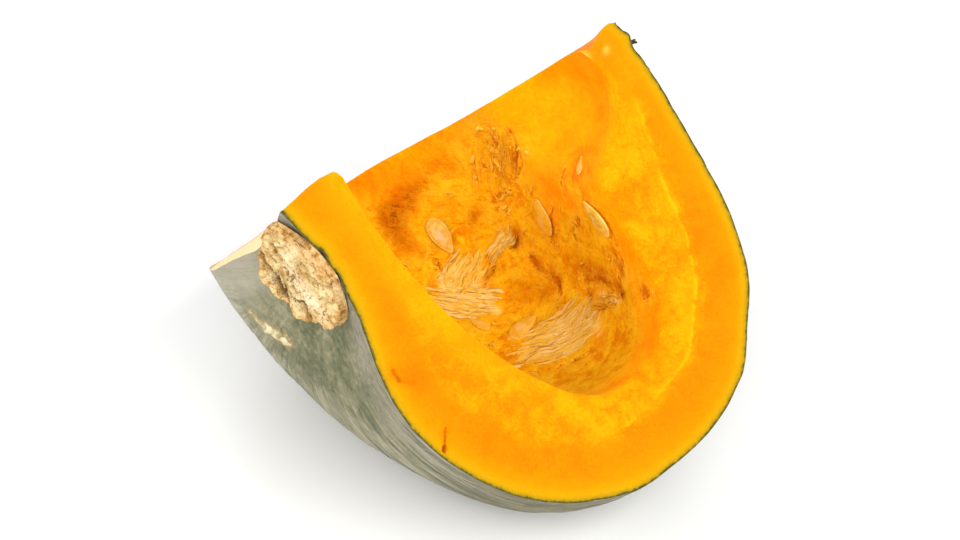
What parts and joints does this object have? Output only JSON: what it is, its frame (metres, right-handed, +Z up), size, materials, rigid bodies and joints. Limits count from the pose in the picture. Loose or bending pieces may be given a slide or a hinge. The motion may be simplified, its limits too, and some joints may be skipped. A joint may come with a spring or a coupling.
{
  "type": "cut kabocha squash wedge",
  "caption": "Wedge of kabocha squash with the whole stem stub, two flat cut faces and an open seed cavity, lying on its skin.",
  "frame": {"origin": "middle of the resting wedge's outline box, at the surface that it lies on", "axes": "+Z up, the large cut face looks towards -Y and upwards, and the stem is on the -X side"},
  "size_m": [0.1378, 0.1362, 0.1123],
  "materials": {
    "squash_flesh": "moist raw flesh with a thin grey-green rind",
    "stem_cork": "rough dry cork",
    "dry_scar": "dry and dull",
    "seed_coat": "smooth damp seed coat",
    "pulp_fibre": "wet fibres"
  },
  "bodies": {
    "root": {"squash_wedge": "squash_flesh", "stem": "stem_cork", "blossom_scar": "dry_scar", "seed_1": "seed_coat", "seed_2": "seed_coat", "seed_3": "seed_coat", "seed_4": "seed_coat", "seed_5": "seed_coat", "seed_6": "seed_coat", "seed_7": "seed_coat", "pulp_bed": "pulp_fibre", "pulp_clump": "pulp_fibre", "pulp_fold": "pulp_fibre", "pulp_fan": "pulp_fibre", "pulp_strand": "pulp_fibre", "pulp_tuft": "pulp_fibre"}
  },
  "joints": []
}
